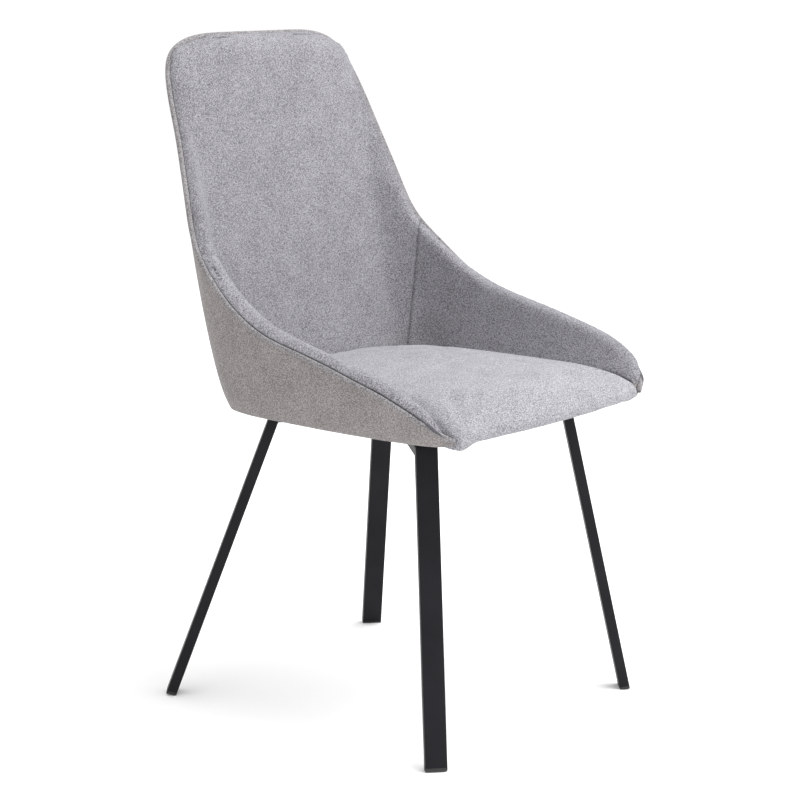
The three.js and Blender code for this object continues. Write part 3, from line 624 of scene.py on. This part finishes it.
def twill(name, light, dark):
    """Melange twill: light and dark yarns in a diagonal rib, with a soft nap; painted shade darkens
    the hollows between its threads and, where a piece carries it, its seams.
    """
    middle = tuple((a + b) / 2 for a, b in zip(light, dark))
    finish = Finish(name, middle, TWILL_ROUGHNESS, Sheen_Weight=TWILL_SHEEN,
                    Sheen_Roughness=SHEEN_ROUGHNESS, Specular_IOR_Level=TWILL_REFLECTION)
    threads = finish.node("ShaderNodeUVMap", {"uv_map": "threads"})
    across = finish.node("ShaderNodeSeparateXYZ", None, {"Vector": threads}, output="X")
    along = finish.node("ShaderNodeSeparateXYZ", None, {"Vector": threads}, output="Y")
    warp = across / THREAD_PITCH
    weft = along / THREAD_PITCH
    row = finish.node("ShaderNodeMath", {"operation": "FLOOR"}, {0: warp})
    column = finish.node("ShaderNodeMath", {"operation": "FLOOR"}, {0: weft})
    turn = row.maths("FLOORED_MODULO", row + column, TWILL_REPEAT)
    warp_on_top = turn.maths("LESS_THAN", turn, TWILL_REPEAT / 2)
    warp_round = finish.node("ShaderNodeMath", {"operation": "SINE"}, {0: (warp - row) * math.pi})
    weft_round = finish.node("ShaderNodeMath", {"operation": "SINE"}, {0: (weft - column) * math.pi})
    height = warp_round * warp_on_top + weft_round * (1 - warp_on_top)
    warp_scale = {"Vector": threads, "Scale": (YARN_ACROSS, YARN_ALONG, 1.0)}
    weft_scale = {"Vector": threads, "Scale": (YARN_ALONG, YARN_ACROSS, 1.0)}
    warp_run = finish.node("ShaderNodeMapping", None, warp_scale)
    weft_run = finish.node("ShaderNodeMapping", None, weft_scale)
    warp_yarn = finish.noise(warp_run, scale=1.0, detail=2.0, roughness=0.6)
    weft_yarn = finish.noise(weft_run, scale=1.0, detail=2.0, roughness=0.6)
    yarn = warp_yarn * warp_on_top + weft_yarn * (1 - warp_on_top)
    place = finish.place()
    flecks = finish.noise(place, scale=620.0, detail=3.0, roughness=0.65)
    clouds = finish.noise(place, scale=28.0, detail=3.0, roughness=0.5)
    mixture = YARN_SHARE * (yarn - 0.5) + FLECK_SHARE * (flecks - 0.5) + CLOUD_SHARE * (clouds - 0.5)
    # Painted shade: the rib term lightens each thread's crown and darkens the hollows where threads
    # meet, following the same relief as the bump below.
    tone = 0.5 + TWILL_CONTRAST * mixture + RIB_SHADE_SHARE * (height - RIB_MIDDLE)
    shade = finish.blend(tone, (*dark, 1), (*light, 1))
    # Painted shade: the pad's painted seam shade attribute blends the base colour towards a near-black
    # shadow colour; pieces without that attribute read zero and keep their colour.
    seam = finish.node("ShaderNodeAttribute", {"attribute_name": "seam_shade"}, output="Fac")
    shadow = tuple(part * SHADOW_SHARE for part in dark)
    finish.drive("Base Color", finish.blend(SEAM_DARKNESS * seam, shade, (*shadow, 1)))
    finish.drive("Roughness", TWILL_ROUGHNESS + YARN_ROUGHNESS * yarn)
    finish.bump(height + RIB_YARN * yarn, strength=0.3, distance=0.0003)
    return finish.material


seat_cushion = merged_copy("seat_cushion", "seat_cover")
places = corners_of(seat_cushion)
normals = normals_of(seat_cushion)
is_lip = places[:, 1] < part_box("seat_cover")[0].y + LIP_DEPTH
faces_up = np.where(is_lip, normals[:, 2] - LIP_LEAN * normals[:, 1], normals[:, 2])
places[faces_up < 0, 2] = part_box("seat_board")[0].z - TUCK_UNDER
move_corners(seat_cushion, places)
apply_modifier(seat_cushion, "SUBSURF", levels=2, render_levels=2)
apply_modifier(seat_cushion, "REMESH", mode="VOXEL", voxel_size=VOXEL)
apply_modifier(seat_cushion, "SMOOTH", factor=0.5, iterations=SEAT_SMOOTHINGS)
seat_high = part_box("seat_cover")[1]
board_low, board_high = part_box("seat_board")
board_top = board_high.z
places = corners_of(seat_cushion)
board_shape = frame["nodes"]["seat_board"].data
tall_corners = [Vector((v.co.x, v.co.y, v.co.z * BOARD_STRETCH)) for v in board_shape.vertices]
tall_board = BVHTree.FromPolygons(tall_corners, [f.vertices for f in board_shape.polygons])
at_corner = (np.abs(places[:, 0]) > CORNER_BOX[0]) & (places[:, 1] < CORNER_BOX[1])
at_corner &= places[:, 2] < board_top + LIFT_ABOVE
board_middle = (board_low.z + board_high.z) / 2 * BOARD_STRETCH
for number in np.flatnonzero(at_corner):
    place = Vector((places[number, 0], places[number, 1], board_middle))
    nearest, normal, _, _ = tall_board.find_nearest(place)
    if abs(normal.z) < 0.5 and (place - nearest).dot(normal) < SIDE_ROOM:
        places[number, :2] = (nearest + normal * SIDE_ROOM)[:2]
beyond = np.hypot(np.abs(places[:, 0]) - board_high.x, places[:, 1] - board_low.y)
sag = np.exp(-((beyond / SAG_REACH) ** 2)) * (1 - smooth_step(places[:, 2], board_top, seat_high.z))
places[:, 2] -= sag * np.where(places[:, 0] < 0, NEAR_SAG, FAR_SAG)
move_corners(seat_cushion, places)
places = corners_of(seat_cushion)
normals = normals_of(seat_cushion)
is_top = smooth_step(places[:, 2], board_top, board_top + CROWN_START)
move_corners(seat_cushion, places - normals * (SEAT_SHRINK * is_top)[:, None])
stuff(seat_cushion, SEAT_PRESSURE, SEAT_CAP, 1 - is_top)
apply_modifier(seat_cushion, "SUBSURF", levels=1, render_levels=1)
places = corners_of(seat_cushion)
lay_threads(seat_cushion, places[:, 0], places[:, 1] + places[:, 2])
seat_cushion.data.shade_smooth()
seat_twill = twill("seat_twill", SEAT_LIGHT, SEAT_DARK)
finish_piece(seat_cushion, "seat_fabric", seat_twill, "seat_cover", "seat_foam")

# Back and wing pads. One pad of foam lines the bucket and is sewn from three
# panels of twill; the seams run up from the seat to the rim, where the padding
# rolls over the wings. The welt hides the edge that is stapled to the shell.
INNER_LIGHT = (0.330, 0.325, 0.350)
INNER_DARK = (0.090, 0.088, 0.098)
BUCKET_SMOOTHINGS = 8
STAPLED_NEAR = 0.0035
STAPLED_FAR = 0.0065
SIDE_START = 0.10
SIDE_END = 0.13
ROLL_LOW = -0.018
ROLL_HIGH = -0.006
BESIDE_BACK = (0.12, 0.15)
BACK_FOOT = (0.58, 0.66)
BACK_HEAD = (0.80, 0.86)
BUCKET_PRESSURE = 4.0
BUCKET_CAP = 0.004
BUCKET_SHRINK = 0.0015
BUCKET_VOXEL = 0.0044
SHELL_ROOM = 0.0075
EDGE_START = 0.004
EDGE_END = 0.022
TIP_START = -0.19
TIP_ROOM = 0.007
TIP_REACH = 0.014
TIP_DROP = 0.010
OUTER_NEAR = 0.0035
OUTER_FAR = 0.0080
DROP_START = 0.222
RIM_SLOPE = 0.45
RIM_END = (-0.250, 0.434)
COVER_THICKNESS = 0.002
LAST_ROOM = 0.0017
EDGE_PULL_FULL = 0.005
EDGE_PULL_END = 0.012
SHELL_REACH = 0.008
MIDDLE_Y = -0.05
FACES_IN = -0.5
SEAM_MIDDLE = (0.230, 0.1536, 0.612)
SEAM_FACING = (0.509, -0.859, -0.068)
COVER_GROWTHS = (1.008, 1.016)
SEAM_DEPTH = 0.0014
# Painted shade: the width of the dark line painted into the pad's colour along the welt and the panel
# seams, its strength on the panel seams, and the strength and width of the wider painted shade on the
# back panel's sides near the welt.
PAINTED_SEAM_WIDTH = 0.0016
PANEL_SEAM_SHARE = 0.5
PAINTED_ROLL_SHADE = 0.34
ROLL_WIDTH = 0.014
SEAM_HALF_WIDTH = 0.0022
CORNER_X = 0.130
CORNER_Y = 0.100
CORNER_LEAN = 0.2
CORNER_RADIUS = 0.070
HEM_HEIGHT = 0.405


def round_the_bucket(places):
    """How far round the bucket each point is, and how far out from its middle."""
    side = np.abs(places[:, 0]) - CORNER_X
    behind = places[:, 1] - CORNER_Y - CORNER_LEAN * (places[:, 2] - HEM_HEIGHT)
    corner = np.arctan2(np.maximum(side, 0), np.maximum(behind, 1e-6))
    around = np.where(side < 0, np.abs(places[:, 0]), CORNER_X + CORNER_RADIUS * corner)
    ahead = CORNER_X + CORNER_RADIUS * math.pi / 2 - behind
    around = np.where(behind < 0, ahead, around)
    outward = np.hypot(np.maximum(side, 0), np.maximum(behind, 0))
    return np.sign(places[:, 0]) * around, outward


padding_nodes = ["back_cover", "back_foam", "left_wing_cover", "left_wing_foam",
                 "right_wing_cover", "right_wing_foam"]
cover_nodes = padding_nodes[::2]
bucket_pad = merged_copy("bucket_pad", *padding_nodes, "moulded_shell")
apply_modifier(bucket_pad, "SUBSURF", levels=1, render_levels=1)
for growth in COVER_GROWTHS:
    backing = merged_copy("backing", *cover_nodes)
    apply_modifier(backing, "SUBSURF", levels=1, render_levels=1)
    places = corners_of(backing)
    places[:, :2] *= growth
    move_corners(backing, places)
    deselect_all()
    backing.select_set(True)
    bucket_pad.select_set(True)
    bpy.context.view_layer.objects.active = bucket_pad
    bpy.ops.object.join()
apply_modifier(bucket_pad, "REMESH", mode="VOXEL", voxel_size=BUCKET_VOXEL)
apply_modifier(bucket_pad, "SMOOTH", factor=0.5, iterations=BUCKET_SMOOTHINGS)


def surface_of(node):
    """The surface of a CAD node, made ready for finding its nearest point."""
    shape = frame["nodes"][node].data
    return BVHTree.FromPolygons([v.co for v in shape.vertices], [f.vertices for f in shape.polygons])


def distance_to(node, places):
    """How far each point is from the surface of a CAD node."""
    tree = surface_of(node)
    return np.array([tree.find_nearest(Vector(place))[3] for place in places])


def pull_to(node, places, near, far):
    """Moves the points that are close to a CAD node onto its surface, the closest ones fully."""
    tree = surface_of(node)
    moved = places.copy()
    for number, place in enumerate(places):
        nearest, _, _, distance = tree.find_nearest(Vector(place))
        if distance < far:
            share = 1 - float(smooth_step(distance, near, far))
            moved[number] += (np.array(nearest) - place) * share
    return moved


def keep_in_front(places, room):
    """Lifts the points that sink into the shell's inner face back out of it."""
    tree = surface_of("moulded_shell")
    lifted = places.copy()
    for number, place in enumerate(places):
        nearest, normal, _, _ = tree.find_nearest(Vector(place), SHELL_REACH)
        if nearest is None:
            continue
        inward = Vector((-nearest.x, MIDDLE_Y - nearest.y, 0)).normalized()
        height = (Vector(place) - nearest).dot(normal)
        if normal.dot(inward) > FACES_IN and height < room:
            lifted[number] = nearest + normal * room
    return lifted


def off_seam(places, side):
    """How far each point is in front of the seam between the back and one wing panel."""
    middle = np.array((SEAM_MIDDLE[0] * side, *SEAM_MIDDLE[1:]))
    facing = np.array((SEAM_FACING[0] * side, *SEAM_FACING[1:]))
    return (places - middle) @ facing


places = corners_of(bucket_pad)
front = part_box("rim_welt")[0].y + TIP_ROOM
above_rim = places[:, 2] - (RIM_END[1] + RIM_SLOPE * (places[:, 1] - RIM_END[0]))
is_roll = smooth_step(above_rim, ROLL_LOW, ROLL_HIGH)
is_roll *= smooth_step(distance_to("outer_cover", places), OUTER_NEAR, OUTER_FAR)
reach = TIP_REACH * is_roll * smooth_step(-places[:, 1], -TIP_START, -front)
reach = np.minimum(reach, np.maximum(places[:, 1] - front, 0))
places[:, 1] -= reach
places[:, 2] -= RIM_SLOPE * reach + TIP_DROP * is_roll * smooth_step(-places[:, 1], DROP_START, -front)
places = pull_to("rim_welt", places, EDGE_PULL_FULL, EDGE_PULL_END)
move_corners(bucket_pad, keep_in_front(places, COVER_THICKNESS))
places = corners_of(bucket_pad)
normals = normals_of(bucket_pad)
to_welt = distance_to("rim_welt", places)
is_stapled = 1 - smooth_step(distance_to("outer_cover", places), STAPLED_NEAR, STAPLED_FAR)
is_edge = 1 - smooth_step(to_welt, EDGE_START, EDGE_END)
inset = (SHELL_ROOM * is_stapled + BUCKET_SHRINK * (1 - is_stapled)) * (1 - is_edge)
move_corners(bucket_pad, places - normals * inset[:, None])
held = np.maximum(is_stapled, is_edge)
stuff(bucket_pad, BUCKET_PRESSURE, BUCKET_CAP, held)
apply_modifier(bucket_pad, "SUBSURF", levels=1, render_levels=1)
places = corners_of(bucket_pad)
normals = normals_of(bucket_pad)
pull = np.zeros(len(places))
for side in (-1, 1):
    distance = off_seam(places, side)
    on_side = smooth_step(places[:, 0] * side, SIDE_START, SIDE_END)
    pull += on_side * SEAM_DEPTH * np.exp(-((distance / SEAM_HALF_WIDTH) ** 2))
move_corners(bucket_pad, places - normals * pull[:, None])
places = keep_in_front(corners_of(bucket_pad), LAST_ROOM)
move_corners(bucket_pad, places)
across, outward = round_the_bucket(places)
lay_threads(bucket_pad, across, places[:, 2] + outward)
# Painted shade, stored as a point attribute that the inner twill reads: a thin dark line along the
# welt and the two panel seams, standing in for the shadow in those seams, and a wider, fainter
# darkening of the back panel's sides near the welt, standing in for the shade where the padding rolls
# down to it.
to_welt = distance_to("rim_welt", places)
beside_back = smooth_step(np.abs(places[:, 0]), *BESIDE_BACK) * smooth_step(places[:, 2], *BACK_FOOT)
beside_back *= 1 - smooth_step(places[:, 2], *BACK_HEAD)
painted_roll_shade = PAINTED_ROLL_SHADE * beside_back * np.exp(-((to_welt / ROLL_WIDTH) ** 2))
seam_shade = np.maximum(painted_roll_shade, np.exp(-((to_welt / PAINTED_SEAM_WIDTH) ** 2)))
for side in (-1, 1):
    on_side = smooth_step(places[:, 0] * side, SIDE_START, SIDE_END)
    panel_seam = np.exp(-((off_seam(places, side) / PAINTED_SEAM_WIDTH) ** 2))
    seam_shade = np.maximum(seam_shade, PANEL_SEAM_SHARE * on_side * panel_seam)
painted_shade_layer = bucket_pad.data.attributes.new("seam_shade", "FLOAT", "POINT")
painted_shade_layer.data.foreach_set("value", seam_shade.astype(np.float32))
inner_twill = twill("inner_twill", INNER_LIGHT, INNER_DARK)


def cut_panel(name, cuts):
    """A copy of the whole pad, cut along planes and closed; each cut keeps what is in front."""
    panel = bucket_pad.copy()
    panel.data = bucket_pad.data.copy()
    panel.name = name
    panel.data.name = name
    studio.collection.objects.link(panel)
    for middle, facing in cuts:
        start_editing(panel, "FACE")
        bpy.ops.object.mode_set(mode="EDIT")
        bpy.ops.mesh.select_all(action="SELECT")
        bpy.ops.mesh.bisect(plane_co=middle, plane_no=facing, use_fill=True, clear_inner=True)
        stop_editing()
    panel.data.shade_smooth()
    return panel


seams = {}
for side in (-1, 1):
    middle = (SEAM_MIDDLE[0] * side, *SEAM_MIDDLE[1:])
    seams[side] = (middle, (SEAM_FACING[0] * side, *SEAM_FACING[1:]))
behind_seams = [(middle, [-part for part in facing]) for middle, facing in seams.values()]
back_pad = cut_panel("back_pad", behind_seams)
finish_piece(back_pad, "inner_fabric", inner_twill, "back_cover", "back_foam")
for side, word in ((1, "left"), (-1, "right")):
    wing_pad = cut_panel(f"{word}_wing_pad", [((0, 0, 0), (side, 0, 0)), seams[side]])
    finish_piece(wing_pad, "inner_fabric", inner_twill, f"{word}_wing_cover", f"{word}_wing_foam")
deselect_all()
bucket_pad.select_set(True)
bpy.ops.object.delete()

# Outer cover. One piece of the same twill, pulled round the back and under both
# wings and stapled under the hem.
OUTER_LIGHT = (0.330, 0.305, 0.300)
OUTER_DARK = (0.090, 0.082, 0.080)
SHARP_ANGLE = math.radians(55)
FOLD_START = -0.228
FOLD_THICKNESS = 0.0014
FOLD_HEIGHT = 0.006

outer_skin = merged_copy("outer_skin", "outer_cover")
keep_sharp(outer_skin, SHARP_ANGLE)
apply_modifier(outer_skin, "SUBSURF", levels=2, render_levels=2)
tip_fold = merged_copy("tip_fold", "moulded_shell")
pick_faces(tip_fold, lambda middle, normal: True)
bpy.ops.mesh.bisect(plane_co=(0, FOLD_START, 0), plane_no=(0, 1, 0), use_fill=True, clear_outer=True)
stop_editing()
hem_fold = merged_copy("hem_fold", "moulded_shell")
pick_faces(hem_fold, lambda middle, normal: True)
fold_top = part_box("moulded_shell")[0].z + FOLD_HEIGHT
bpy.ops.mesh.bisect(plane_co=(0, 0, fold_top), plane_no=(0, 0, 1), use_fill=True, clear_outer=True)
stop_editing()
for fold in (tip_fold, hem_fold):
    move_corners(fold, corners_of(fold) + normals_of(fold) * FOLD_THICKNESS)
deselect_all()
tip_fold.select_set(True)
hem_fold.select_set(True)
outer_skin.select_set(True)
bpy.context.view_layer.objects.active = outer_skin
bpy.ops.object.join()
places = corners_of(outer_skin)
lay_threads(outer_skin, round_the_bucket(places)[0], places[:, 2])
outer_skin.data.shade_smooth()
outer_twill = twill("outer_twill", OUTER_LIGHT, OUTER_DARK)
finish_piece(outer_skin, "outer_fabric", outer_twill, "outer_cover")

# Rim welt. A cord in a folded strip of the same twill, sewn into the seam all the
# way round the rim.
WELT_LIGHT = (0.330, 0.316, 0.325)
WELT_DARK = (0.090, 0.085, 0.089)
FLANGE_THICKNESS = 0.0012
FLANGE_REACH = 0.0028

welt = merged_copy("welt_roll", "rim_welt")
apply_modifier(welt, "SUBSURF", levels=2, render_levels=2)
flange = copy_of(welt, "welt_flange", (0, 0, 0))
places = corners_of(flange) + normals_of(flange) * FLANGE_THICKNESS
shell_tree = surface_of("moulded_shell")
for number, place in enumerate(places):
    towards = np.array(shell_tree.find_nearest(Vector(place))[0]) - place
    length = np.linalg.norm(towards)
    places[number] += towards * min(1, FLANGE_REACH / max(length, 1e-6))
move_corners(flange, places)
deselect_all()
flange.select_set(True)
welt.select_set(True)
bpy.context.view_layer.objects.active = welt
bpy.ops.object.join()
places = corners_of(welt)
across, outward = round_the_bucket(places)
lay_threads(welt, across, places[:, 2] + outward)
welt.data.shade_smooth()
welt_twill = twill("welt_twill", WELT_LIGHT, WELT_DARK)
finish_piece(welt, "outer_fabric", welt_twill, "rim_welt")
